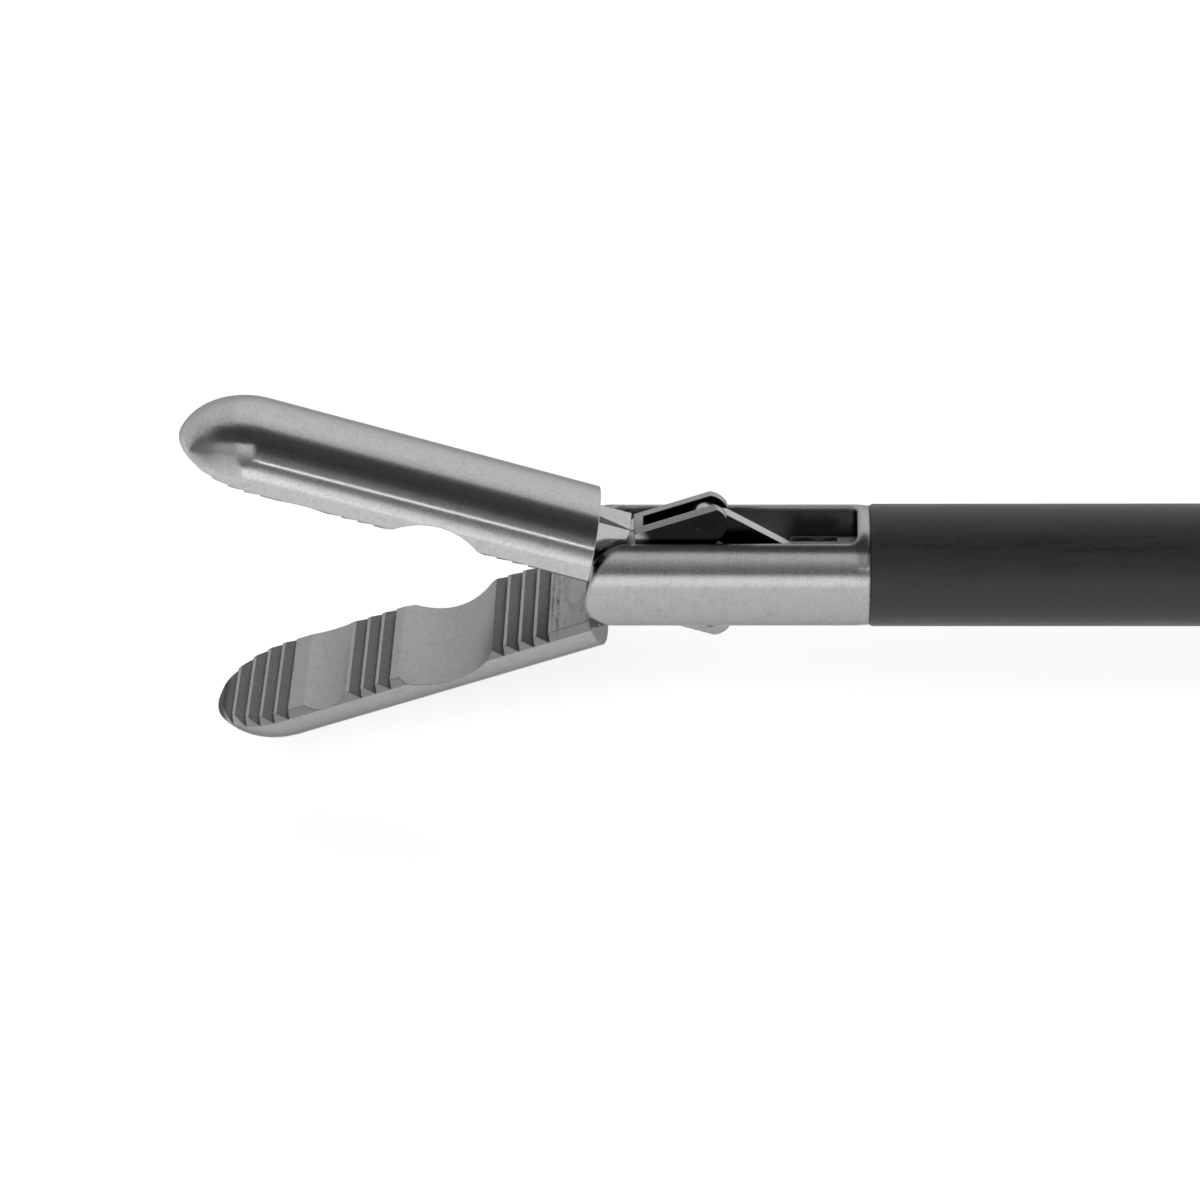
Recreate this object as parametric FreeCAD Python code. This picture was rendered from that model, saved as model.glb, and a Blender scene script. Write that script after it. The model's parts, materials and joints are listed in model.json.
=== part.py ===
import FreeCAD, Part
import math
import os

# Laparoscopic grasper, double action, 5 mm shaft. All sizes in millimetres.
# X runs along the shaft, jaws towards -X and handle towards +X.
# The origin lies on the shaft axis at the front end of the black insulation.
# The jaws swing in the XZ plane, the handle lies flat in the XY plane.
# The model stands as photographed: jaws fully open, and both turned down a little
# by the play of their elbow pins in the links.

# Shaft
SLEEVE_OD = 5.0
SLEEVE_REACH = 300.0
TUBE_OD = 4.2
TUBE_BORE = 3.4
ROD_D = 2.2
GUIDE_LENGTH = 8.0
GUIDE_AT = 150.0
SPIGOT_LENGTH = 6.0

# Clevis
CLEVIS_D = 4.96
SLOT_WIDTH = 2.2
RING_WIDTH = 0.52
RING_TAPER = 0.04
PIVOT_FROM_RING = 8.66
CHEEK_FRONT_R = 2.33
CHEEK_EDGE = 0.12
SLOT_CORNER = 0.4
BORE_D = 2.4
PIVOT_PIN_D = 1.2
BLIND_WALL = 0.4

# Jaws
JAW_LENGTH = 19.75
JAW_R = 2.5
NOSE_LENGTH = 3.2
GRIP_OFFSET = 0.2
RIM_CHAMFER = 0.3
OPEN_ANGLE = 20.4
PLAY_ANGLE = 1.0
CLOSING_TRAVEL = 20.9
HEEL_CLEAR = 0.1
HEEL_LEAN = 6.5
NECK_REAR = 1.35
NECK_TOP = 2.45
NECK_FAR_TOP = 1.6
LAP_R = 1.9
LAP_CLEAR = 0.05
CLOSED_ENVELOPE_R = 2.7

# Teeth and hollows, placed along the jaw from the pivot
TOOTH_PITCH = 0.67
TOOTH_LAND = 0.14
TOOTH_DEPTH = 0.3
TOOTH_RISE = 0.05
HEEL_TEETH_AT = 4.28
HEEL_TEETH = 4
MID_TEETH_AT = 11.42
MID_TEETH = 3
TIP_TEETH_AT = 16.1
TIP_TEETH = 5
DEEP_HOLLOW_AT = 8.92
DEEP_HOLLOW_LENGTH = 4.24
DEEP_HOLLOW_DEPTH = 0.9
SHALLOW_HOLLOW_AT = 14.42
SHALLOW_HOLLOW_LENGTH = 1.94
SHALLOW_HOLLOW_DEPTH = 0.3

# Tails, links and rod fork
TAIL_ARM = 4.0
TAIL_ANGLE = 29.0
TAIL_END_R = 0.9
TAIL_ROOT_R = 1.35
TAIL_GAP = 0.03
TAIL_SHOULDER = 0.7
TAIL_BRIDGE = 0.4
LINK_PIN_D = 0.8
LINK_LENGTH = 5.49
LINK_THICKNESS = 0.4
LINK_ELBOW_R = 0.68
LINK_ROD_R = 0.62
LINK_SIDE_CLEAR = 0.04
OPEN_PIVOT_CLEAR = 0.2
FORK_NOSE = 1.2
FORK_TAIL = 6.0
FORK_FLAT = 1.0
FORK_SOCKET_D = 1.4
FORK_SOCKET_DEPTH = 4.0

# Knob and hub
KNOB_D = 22.0
KNOB_LENGTH = 22.0
KNOB_NOSE_D = 8.0
KNOB_NECK_AT = 6.6
KNOB_NECK_D = 16.5
KNOB_GRIP_AT = 9.2
KNOB_FLUTES = 8
KNOB_FLUTE_R = 3.0
KNOB_EDGE = 1.0
HUB_D = 8.0
HUB_FLANGE_D = 13.0
HUB_FLANGE_WIDTH = 2.1
HUB_REAR = 11.0
SEAL_D = 6.0
SEAL_LENGTH = 3.0
O_RING_WIRE_D = 1.16
LOCK_RING_D = 14.0
LOCK_RING_WIDTH = 1.5

# Handle
HANDLE_HALF = 8.5
HANDLE_EDGE = 2.6
BARREL_LENGTH = 46.0
BARREL_TOP = 12.0
BARREL_BOTTOM = 14.0
BARREL_CORNER = 7.0
CAVITY_HALF = 4.6
CAVITY_TOP = 7.0
CAVITY_FRONT_WALL = 10.5
CAVITY_REAR_WALL = 8.5
LEVER_ARM = 6.0
LEVER_PIN_D = 3.0
LEVER_PIN_BACK = 28.0
LEVER_HALF = 4.0
LEVER_HEAD_R = 5.2
LEVER_NECK_R = 4.2
BUSH_D = 5.0
BUSH_SEAT = 1.25
BALL_D = 4.4
BALL_CLEAR = 0.09
FORK_WALL = 2.2
COLLAR_D = 4.0
COLLAR_LENGTH = 4.0
BALL_NECK = 6.5
THUMB_X = 20.0
THUMB_BELOW_RACK = 32.0
THUMB_HOLE_R = 12.5
RING_WALL = 5.0
FINGER_X = -36.0
FINGER_BELOW_RACK = 18.0
FINGER_HOLE_R = 11.5
FINGER_HOLE_RUN = 12.0
RING_EDGE = 1.4
INSERT_WALL = 1.2
INSERT_HALF = 5.0
STRUT_TOP_X = -16.0
STRUT_TOP_Y = -8.0
STRUT_TOP_R = 7.4
STRUT_END_R = 7.0
SCREW_D = 2.5
SCREW_HEAD_D = 4.2
SCREW_HEAD_DEPTH = 1.8
SCREW_REACH = 4.0
HEX_SIDES = 6
HEX_ACROSS = 2.0
HEX_DEPTH = 1.0
SCREW_SUNK = 0.2

# Electrode post
POST_D = 4.0
POST_REACH = 10.0
POST_BACK = 16.0
POST_FOOT_D = 7.0
POST_FOOT = 2.0
CONTACT_WIDTH = 2.4
CONTACT_THICKNESS = 0.4

# Ratchet
RACK_R = 38.0
RACK_DEPTH = 3.0
RACK_HALF = 1.4
RACK_START_ANGLE = -76.0
RACK_END_ANGLE = -115.0
RACK_ROOM_ANGLE = 1.5
RACK_TEETH = 6
TEETH_PER_SWING = 5
RACK_TOOTH_DEPTH = 0.9
PAWL_PIN_D = 2.0
PAWL_FROM_RACK = 6.0
PAWL_ANGLE = -119.0
PAWL_REACH = 7.0
PAWL_TIP_R = 0.35
PAWL_BITE = 0.5
PAWL_BOSS_R = 2.6
PAWL_NOSE_R = 1.8
TRIGGER_ANGLE = -8.0
TRIGGER_REACH = 15.0
TRIGGER_R = 2.2

# Fits
RUNNING = 0.04
SEATED = 0.01
LOOSE = 0.3

# Sizes that follow
EPS = 1.0
TOUCH = 1e-4
PIVOT_X = -(RING_WIDTH + PIVOT_FROM_RING)
TAIL_HALF = SLOT_WIDTH / 2 - TAIL_GAP
LINK_Y = (TAIL_GAP + TAIL_HALF) / 2
LINK_SLOT = LINK_THICKNESS + 2 * LINK_SIDE_CLEAR
ELBOW_OPEN_ANGLE = math.radians(TAIL_ANGLE + OPEN_ANGLE)
ELBOW_SHUT_ANGLE = math.radians(TAIL_ANGLE + OPEN_ANGLE - CLOSING_TRAVEL)


def rod_pin_reach(angle):
    rise = TAIL_ARM * math.sin(angle)
    return TAIL_ARM * math.cos(angle) + math.sqrt(LINK_LENGTH ** 2 - rise ** 2)


ROD_PIN_X = PIVOT_X + rod_pin_reach(ELBOW_OPEN_ANGLE)
ROD_TRAVEL = rod_pin_reach(ELBOW_SHUT_ANGLE) - rod_pin_reach(ELBOW_OPEN_ANGLE)
LEVER_SWING_ANGLE = math.degrees(ROD_TRAVEL / LEVER_ARM)
LINK_ANGLE = math.degrees(math.asin(TAIL_ARM * math.sin(ELBOW_OPEN_ANGLE) / LINK_LENGTH))
KNOB_FRONT = SLEEVE_REACH
HUB_FRONT = KNOB_FRONT + KNOB_NOSE_D / 2
KNOB_BACK = KNOB_FRONT + KNOB_LENGTH
HOUSING_FRONT = KNOB_BACK + LOCK_RING_WIDTH + LOOSE
HUB_BACK = HOUSING_FRONT + HUB_REAR
FLANGE_FRONT = HOUSING_FRONT + (HUB_REAR - SEAL_LENGTH) / 2
LEVER_X = HOUSING_FRONT + LEVER_PIN_BACK
HOUSING_BACK = HOUSING_FRONT + BARREL_LENGTH
RACK_OUTER = RACK_R + RACK_DEPTH / 2
THUMB_Y = -(RACK_R + THUMB_BELOW_RACK)
FINGER_Y = -(RACK_R + FINGER_BELOW_RACK)
PAWL_PIN_R = RACK_OUTER + PAWL_FROM_RACK
PIN_SEAT = (HANDLE_HALF + CAVITY_HALF) / 2


def pawl_lean(tip_radius):
    # Angle at the pawl's pin between the lever pin and the pawl's tip
    top = PAWL_PIN_R ** 2 + PAWL_REACH ** 2 - tip_radius ** 2
    return math.degrees(math.acos(top / (2 * PAWL_PIN_R * PAWL_REACH)))


PAWL_FREE_ANGLE = pawl_lean(RACK_OUTER + LOOSE + PAWL_TIP_R)
PAWL_CAUGHT_ANGLE = pawl_lean(RACK_OUTER - PAWL_BITE + PAWL_TIP_R)
PAWL_THROW_ANGLE = PAWL_FREE_ANGLE - PAWL_CAUGHT_ANGLE


def vec(x, y, z):
    return FreeCAD.Vector(x, y, z)


def cyl_x(r, x0, x1, y=0.0, z=0.0):
    return Part.makeCylinder(r, x1 - x0, vec(x0, y, z), vec(1, 0, 0))


def cyl_y(r, x, z, y0, y1):
    return Part.makeCylinder(r, y1 - y0, vec(x, y0, z), vec(0, 1, 0))


def cyl_z(r, x, y, z0, z1):
    return Part.makeCylinder(r, z1 - z0, vec(x, y, z0), vec(0, 0, 1))


def box(x0, x1, y0, y1, z0, z1):
    return Part.makeBox(x1 - x0, y1 - y0, z1 - z0, vec(x0, y0, z0))


def tube_x(outer, inner, x0, x1):
    return cyl_x(outer, x0, x1).cut(cyl_x(inner, x0 - EPS, x1 + EPS))


def prism_y(points, y0, y1):
    # Side outline given as (x, z), drawn out along Y
    wire = Part.makePolygon([vec(x, y0, z) for x, z in points + points[:1]])
    return Part.Face(wire).extrude(vec(0, y1 - y0, 0))


def prism_z(points, z0, z1):
    # Plan outline given as (x, y), drawn out along Z
    wire = Part.makePolygon([vec(x, y, z0) for x, y in points + points[:1]])
    return Part.Face(wire).extrude(vec(0, 0, z1 - z0))


def strap_z(a, ra, b, rb, z0, z1):
    # Plate whose outline is two circles joined by their outer tangents
    run = math.hypot(b[0] - a[0], b[1] - a[1])
    along = math.atan2(b[1] - a[1], b[0] - a[0])
    lean = math.acos((ra - rb) / run)
    corners = []
    for centre, r, side in ((a, ra, 1), (b, rb, 1), (b, rb, -1), (a, ra, -1)):
        turn = along + side * lean
        corners.append((centre[0] + r * math.cos(turn), centre[1] + r * math.sin(turn)))
    plate = prism_z(corners, z0, z1)
    plate = plate.fuse([cyl_z(ra, a[0], a[1], z0, z1), cyl_z(rb, b[0], b[1], z0, z1)])
    return plate.removeSplitter()


def strap_y(a, ra, b, rb, y0, y1):
    # The same plate with its outline in (x, z) and its thickness along Y
    plate = strap_z(a, ra, b, rb, -y1, -y0)
    plate.rotate(vec(0, 0, 0), vec(1, 0, 0), 90)
    return plate


def turned(profile, x0):
    # Solid of revolution about the shaft axis from (x, r) corners
    wire = Part.makePolygon([vec(x0 + x, r, 0) for x, r in profile + profile[:1]])
    return Part.Face(wire).revolve(vec(0, 0, 0), vec(1, 0, 0), 360)


def export(shape, name):
    shape.exportStep(os.path.join("parts", name + ".step"))


# Clevis: slotted cylinder with a full-round front, a slightly tapered ring and a spigot
def make_clevis():
    r = CLEVIS_D / 2
    front = PIVOT_X - CHEEK_FRONT_R
    half = SLOT_WIDTH / 2
    ring = Part.makeCone(r, r - RING_TAPER, RING_WIDTH, vec(-RING_WIDTH, 0, 0), vec(1, 0, 0))
    body = cyl_x(r, front - EPS, -RING_WIDTH).fuse(ring)
    nose = cyl_y(CHEEK_FRONT_R, PIVOT_X, 0, -r - EPS, r + EPS)
    body = body.common(nose.fuse(box(PIVOT_X, EPS, -r - EPS, r + EPS, -r - EPS, r + EPS)))
    slot = box(front - EPS, -RING_WIDTH, -half, half, -r - EPS, r + EPS)
    rear = [e for e in slot.Edges if abs(e.CenterOfMass.x + RING_WIDTH) < TOUCH and e.Length > 2 * r]
    body = body.cut(slot.makeFillet(SLOT_CORNER, rear))
    body = body.removeSplitter()
    mouth = []
    for e in body.Edges:
        inner = all(abs(abs(p.y) - half) < TOUCH for p in e.discretize(5))
        if inner and e.CenterOfMass.x < -RING_WIDTH - SLOT_CORNER:
            mouth.append(e)
    body = body.makeChamfer(CHEEK_EDGE, mouth)
    body = body.fuse(cyl_x(TUBE_BORE / 2 - RUNNING, -RING_WIDTH / 2, SPIGOT_LENGTH))
    body = body.cut(cyl_x(BORE_D / 2, -RING_WIDTH - EPS, SPIGOT_LENGTH + EPS))
    # The pin's hole is blind, so that the -Y cheek is plain outside
    body = body.cut(cyl_y(PIVOT_PIN_D / 2 + SEATED, PIVOT_X, 0, BLIND_WALL - r, r + EPS))
    return body.removeSplitter()


def make_pivot_pin():
    r = CLEVIS_D / 2
    pin = cyl_y(PIVOT_PIN_D / 2, PIVOT_X, 0, BLIND_WALL - r + SEATED, r)
    return pin.common(cyl_x(r, PIVOT_X - r, PIVOT_X + r))


# Jaws, drawn shut about the pivot at (0, 0, 0) with the tip towards -X
def jaw_back():
    flat = JAW_LENGTH - NOSE_LENGTH
    curve = Part.Ellipse(vec(-flat, 0, GRIP_OFFSET), NOSE_LENGTH, JAW_R)
    nose = curve.toShape(math.pi / 2, math.pi)
    a = vec(-JAW_LENGTH, 0, GRIP_OFFSET)
    b = vec(-NECK_REAR, 0, GRIP_OFFSET)
    c = vec(-NECK_REAR, JAW_R, GRIP_OFFSET)
    d = vec(-flat, JAW_R, GRIP_OFFSET)
    wire = Part.Wire([nose, Part.makeLine(a, b), Part.makeLine(b, c), Part.makeLine(c, d)])
    half = Part.Face(wire).revolve(vec(0, 0, GRIP_OFFSET), vec(1, 0, 0), 180)
    rim = []
    for e in [e for e in half.Edges if not e.Degenerated]:
        on_plane = all(abs(p.z - GRIP_OFFSET) < TOUCH for p in e.discretize(5))
        off_axis = all(abs(p.y) > TOUCH for p in e.discretize(5)[1:-1])
        heel = abs(e.CenterOfMass.x + NECK_REAR) < TOUCH
        if on_plane and off_axis and not heel:
            rim.append(e)
    return half.makeChamfer(RIM_CHAMFER, rim)


def tooth_cuts(start, count):
    cuts = []
    base = GRIP_OFFSET
    for i in range(count):
        heel_end = start + i * TOOTH_PITCH
        deep = heel_end + TOOTH_RISE
        crest = heel_end + TOOTH_PITCH - TOOTH_LAND
        points = [(-heel_end, base - EPS), (-heel_end, base), (-deep, base + TOOTH_DEPTH),
                  (-crest, base), (-crest, base - EPS)]
        cuts.append(prism_y(points, -JAW_R - EPS, JAW_R + EPS))
    return cuts


def hollow_cut(middle, length, depth):
    r = (length ** 2 / 4 + depth ** 2) / (2 * depth)
    return cyl_y(r, -middle, GRIP_OFFSET + depth - r, -JAW_R - EPS, JAW_R + EPS)


def make_tail(elbow):
    # Plate whose outer edge lies along the shaft when the jaws are shut, forked for the link
    deep = TAIL_END_R - elbow[1]
    arm = strap_y((0, 0), TAIL_ROOT_R, elbow, TAIL_END_R, TAIL_GAP, TAIL_HALF)
    fin = prism_y([(0, 0), (TAIL_SHOULDER, -deep), (elbow[0], -deep), elbow], TAIL_GAP, TAIL_HALF)
    gap = box(0, TAIL_ARM + LAP_R, LINK_Y - LINK_SLOT / 2, LINK_Y + LINK_SLOT / 2, -deep, LAP_R)
    gap.rotate(vec(0, 0, 0), vec(0, 1, 0), TAIL_ANGLE)
    bridge = prism_y([(TAIL_BRIDGE, 0), (TAIL_SHOULDER + TAIL_BRIDGE, -deep), (-deep, -deep), (-deep, 0)],
                     -LAP_R, LAP_R)
    gap = gap.cut([cyl_y(LAP_R, 0, 0, -LAP_R, LAP_R), bridge])
    return arm.fuse(fin).common(cyl_x(CLOSED_ENVELOPE_R, -TAIL_ARM, 2 * TAIL_ARM)).cut(gap)


def make_jaw():
    # The upper jaw: its tail fills the +Y half of the slot and hangs below the axis
    back = jaw_back()
    cuts = tooth_cuts(HEEL_TEETH_AT, HEEL_TEETH)
    cuts += tooth_cuts(MID_TEETH_AT, MID_TEETH)
    cuts += tooth_cuts(TIP_TEETH_AT, TIP_TEETH)
    cuts.append(hollow_cut(DEEP_HOLLOW_AT, DEEP_HOLLOW_LENGTH, DEEP_HOLLOW_DEPTH))
    cuts.append(hollow_cut(SHALLOW_HOLLOW_AT, SHALLOW_HOLLOW_LENGTH, SHALLOW_HOLLOW_DEPTH))
    back = back.cut(cuts)
    heel = CHEEK_FRONT_R + HEEL_CLEAR
    top = CLOSED_ENVELOPE_R + EPS
    lean = top * math.tan(math.radians(HEEL_LEAN))
    wide = prism_y([(-heel, 0), (-JAW_LENGTH - EPS, 0), (-JAW_LENGTH - EPS, top), (-heel - lean, top)],
                   -JAW_R - EPS, JAW_R + EPS)
    # The neck is tall beside the other jaw's tail and low beside its own
    tall = box(-heel - lean, -NECK_REAR, -TAIL_HALF, TAIL_GAP, 0, NECK_TOP)
    low = box(-heel - lean, -NECK_REAR, TAIL_GAP, TAIL_HALF, 0, NECK_FAR_TOP)
    body = back.common(wide.fuse([tall, low]))
    body = body.cut(cyl_y(LAP_R + LAP_CLEAR, 0, 0, -JAW_R, TAIL_GAP))
    elbow = (TAIL_ARM * math.cos(math.radians(TAIL_ANGLE)), -TAIL_ARM * math.sin(math.radians(TAIL_ANGLE)))
    disc = cyl_y(LAP_R, 0, 0, TAIL_GAP, TAIL_HALF)
    jaw_tail = make_tail(elbow)
    jaw = body.fuse([disc, jaw_tail])
    jaw = jaw.cut([cyl_y(PIVOT_PIN_D / 2 + RUNNING, 0, 0, -JAW_R, JAW_R),
                   cyl_y(LINK_PIN_D / 2 + SEATED, elbow[0], elbow[1], -JAW_R, JAW_R)])
    return jaw.removeSplitter()


def make_elbow_pin():
    # Flush pin across the fork of the upper jaw's tail
    x = TAIL_ARM * math.cos(math.radians(TAIL_ANGLE))
    z = -TAIL_ARM * math.sin(math.radians(TAIL_ANGLE))
    return cyl_y(LINK_PIN_D / 2, x, z, TAIL_GAP, TAIL_HALF)


def opened(shape, angle):
    # Swings an upper jaw piece open and carries it to the pivot
    shape = shape.copy()
    shape.rotate(vec(0, 0, 0), vec(0, 1, 0), angle)
    shape.translate(vec(PIVOT_X, 0, 0))
    return shape


def half_turn(shape):
    # The lower jaw is the upper one turned half round about the shaft axis
    shape = shape.copy()
    shape.rotate(vec(0, 0, 0), vec(1, 0, 0), 180)
    return shape


def make_link():
    # Link of the upper jaw, below the axis in the +Y half
    a = math.radians(LINK_ANGLE)
    elbow = (ROD_PIN_X - LINK_LENGTH * math.cos(a), -LINK_LENGTH * math.sin(a))
    y0 = LINK_Y - LINK_THICKNESS / 2
    y1 = LINK_Y + LINK_THICKNESS / 2
    link = strap_y(elbow, LINK_ELBOW_R, (ROD_PIN_X, 0), LINK_ROD_R, y0, y1)
    open_hole = cyl_y(LINK_PIN_D / 2 + OPEN_PIVOT_CLEAR, elbow[0], elbow[1], y0 - EPS, y1 + EPS)
    return link.cut([open_hole, cyl_y(LINK_PIN_D / 2 + RUNNING, ROD_PIN_X, 0, y0 - EPS, y1 + EPS)])


# Rod and its fork
def make_rod_fork():
    r = BORE_D / 2 - RUNNING
    half = SLOT_WIDTH / 2 - LINK_SIDE_CLEAR
    front = ROD_PIN_X - FORK_NOSE
    back = ROD_PIN_X + FORK_TAIL
    fork = cyl_x(r, front, back).common(box(front, back, -half, half, -FORK_FLAT, FORK_FLAT))
    depth = ROD_PIN_X + LINK_ROD_R + 2 * LINK_SIDE_CLEAR
    for side in (-1, 1):
        y = side * LINK_Y
        fork = fork.cut(box(front - EPS, depth, y - LINK_SLOT / 2, y + LINK_SLOT / 2, -r - EPS, r + EPS))
    fork = fork.cut(cyl_y(LINK_PIN_D / 2 + SEATED, ROD_PIN_X, 0, -r - EPS, r + EPS))
    return fork.cut(cyl_x(FORK_SOCKET_D / 2, back - FORK_SOCKET_DEPTH, back + EPS))


def make_rod_pin():
    half = SLOT_WIDTH / 2 - LINK_SIDE_CLEAR
    r = BORE_D / 2 - RUNNING
    return cyl_y(LINK_PIN_D / 2, ROD_PIN_X, 0, -half, half).common(cyl_x(r, ROD_PIN_X - r, ROD_PIN_X + r))


def make_pull_rod():
    front = ROD_PIN_X + FORK_TAIL
    back = LEVER_X - BALL_NECK - COLLAR_LENGTH
    tip = FORK_SOCKET_D / 2 - SEATED
    rod = cyl_x(ROD_D / 2, front, back)
    return rod.fuse([cyl_x(tip, front - FORK_SOCKET_DEPTH + LINK_SIDE_CLEAR, front),
                     cyl_x(tip, back, back + COLLAR_LENGTH - LINK_SIDE_CLEAR)])


def make_ball_end():
    front = LEVER_X - BALL_NECK - COLLAR_LENGTH
    ball = Part.makeSphere(BALL_D / 2, vec(LEVER_X, 0, 0))
    ball = ball.fuse([cyl_x(ROD_D / 2, front + COLLAR_LENGTH - SEATED, LEVER_X),
                      cyl_x(COLLAR_D / 2, front, front + COLLAR_LENGTH)])
    return ball.cut(cyl_x(FORK_SOCKET_D / 2, front - EPS, front + COLLAR_LENGTH)).removeSplitter()


# Shaft
def make_shaft_tube():
    return tube_x(TUBE_OD / 2, TUBE_BORE / 2, 0, HUB_BACK - SEAL_LENGTH)


def make_sleeve():
    return tube_x(SLEEVE_OD / 2, TUBE_OD / 2 + SEATED, 0, KNOB_FRONT)


def make_rod_guide():
    return tube_x(TUBE_BORE / 2 - SEATED, ROD_D / 2 + RUNNING, GUIDE_AT, GUIDE_AT + GUIDE_LENGTH)


def make_rod_seal():
    return tube_x(SEAL_D / 2 - SEATED, ROD_D / 2 + RUNNING, HUB_BACK - SEAL_LENGTH, HUB_BACK)


def make_hub():
    hub = cyl_x(HUB_D / 2, HUB_FRONT, HUB_BACK)
    hub = hub.fuse(cyl_x(HUB_FLANGE_D / 2, FLANGE_FRONT, FLANGE_FRONT + HUB_FLANGE_WIDTH))
    hub = hub.cut([cyl_x(TUBE_OD / 2 + SEATED, HUB_FRONT - EPS, HUB_BACK + EPS),
                   cyl_x(SEAL_D / 2, HUB_BACK - SEAL_LENGTH, HUB_BACK + EPS)])
    groove = o_ring_place()
    width = O_RING_WIRE_D / 2 + RUNNING
    return hub.cut(tube_x(HUB_D / 2 + EPS, o_ring_inner(), groove - width, groove + width))


def o_ring_place():
    return (HOUSING_FRONT + FLANGE_FRONT) / 2


def o_ring_inner():
    return HUB_D / 2 - O_RING_WIRE_D - SEATED


def make_o_ring():
    radius = O_RING_WIRE_D / 2
    return Part.makeTorus(o_ring_inner() + SEATED + radius, radius, vec(o_ring_place(), 0, 0), vec(1, 0, 0))


def make_knob():
    r = KNOB_D / 2
    profile = [(0, 0), (0, KNOB_NOSE_D / 2), (KNOB_NECK_AT, KNOB_NECK_D / 2), (KNOB_GRIP_AT, r),
               (KNOB_LENGTH - KNOB_EDGE, r), (KNOB_LENGTH, r - KNOB_EDGE), (KNOB_LENGTH, 0)]
    knob = turned(profile, KNOB_FRONT)
    flutes = []
    for i in range(KNOB_FLUTES):
        turn = 2 * math.pi * (i + 0.5) / KNOB_FLUTES
        y = (r + KNOB_FLUTE_R / 2) * math.sin(turn)
        z = (r + KNOB_FLUTE_R / 2) * math.cos(turn)
        flutes.append(cyl_x(KNOB_FLUTE_R, KNOB_FRONT - EPS, KNOB_BACK + EPS, y, z))
    knob = knob.cut(flutes)
    return knob.cut([cyl_x(TUBE_OD / 2 + SEATED, KNOB_FRONT - EPS, HUB_FRONT + EPS),
                     cyl_x(HUB_D / 2 + SEATED, HUB_FRONT, KNOB_BACK + EPS)])


def make_lock_ring():
    return tube_x(LOCK_RING_D / 2, HUB_D / 2 + SEATED, KNOB_BACK, KNOB_BACK + LOCK_RING_WIDTH)


# Handle
def from_lever(x, y):
    # Handle points are given from the lever pin
    return (LEVER_X + x, -LEVER_ARM + y)


def finger_hole(r, z0, z1):
    a = from_lever(FINGER_X, FINGER_Y + FINGER_HOLE_RUN / 2)
    b = from_lever(FINGER_X, FINGER_Y - FINGER_HOLE_RUN / 2)
    return strap_z(a, r, b, r, z0, z1)


def screw_places():
    # Two in the barrel, one in the strut and one under the finger loop
    loop = from_lever(FINGER_X, FINGER_Y - FINGER_HOLE_RUN / 2 - FINGER_HOLE_R - INSERT_WALL)
    return [(FLANGE_FRONT + HUB_FLANGE_WIDTH / 2, BARREL_TOP - SCREW_HEAD_D / 2 - LOOSE),
            (HOUSING_BACK - CAVITY_REAR_WALL / 2, 0),
            (LEVER_X + STRUT_TOP_X - SCREW_D / 2, STRUT_TOP_Y - LEVER_ARM - SCREW_D),
            (loop[0], loop[1] - RING_WALL / 2)]


def polar(centre, reach, degrees):
    a = math.radians(degrees)
    return (centre[0] + reach * math.cos(a), centre[1] + reach * math.sin(a))


def pawl_pin_place():
    return polar(from_lever(0, 0), PAWL_PIN_R, PAWL_ANGLE)


def pawl_tip(lean):
    return polar(pawl_pin_place(), PAWL_REACH, PAWL_ANGLE + 180 + lean)


def trigger_tip(turn):
    return polar(pawl_pin_place(), TRIGGER_REACH, TRIGGER_ANGLE - turn)


def soft_top(shape):
    # Rounds the outer rim of a handle form
    rim = [e for e in shape.Edges if all(abs(p.z - HANDLE_HALF) < TOUCH for p in e.discretize(4))]
    return shape.makeFillet(HANDLE_EDGE, rim)


def housing_form():
    barrel = box(HOUSING_FRONT, HOUSING_BACK, -BARREL_BOTTOM, BARREL_TOP, 0, HANDLE_HALF)
    upright = [e for e in barrel.Edges if abs(e.CenterOfMass.z - HANDLE_HALF / 2) < TOUCH]
    corners = [e for e in upright if e.CenterOfMass.x > LEVER_X]
    barrel = soft_top(barrel.makeFillet(BARREL_CORNER, corners))
    top = from_lever(STRUT_TOP_X, STRUT_TOP_Y)
    end = from_lever(FINGER_X + FINGER_HOLE_R, FINGER_Y + (FINGER_HOLE_RUN + FINGER_HOLE_R) / 2)
    strut = soft_top(strap_z(top, STRUT_TOP_R, end, STRUT_END_R, 0, HANDLE_HALF))
    loop = soft_top(finger_hole(FINGER_HOLE_R + INSERT_WALL + RING_WALL, 0, HANDLE_HALF))
    hole = finger_hole(FINGER_HOLE_R + INSERT_WALL, -EPS, HANDLE_HALF + EPS)
    return barrel.fuse([strut, loop], TOUCH).cut(hole)


def sector(r0, r1, start, end, half):
    # Ring sector about the lever pin, angles in degrees from +X
    cx, cy = from_lever(0, 0)
    ring = cyl_z(r1, cx, cy, -half, half).cut(cyl_z(r0, cx, cy, -half - EPS, half + EPS))
    reach = 2 * r1
    points = [(cx, cy)]
    for turn in (start, (start + end) / 2, end):
        a = math.radians(turn)
        points.append((cx + reach * math.cos(a), cy + reach * math.sin(a)))
    return ring.common(prism_z(points, -half, half))


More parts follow.
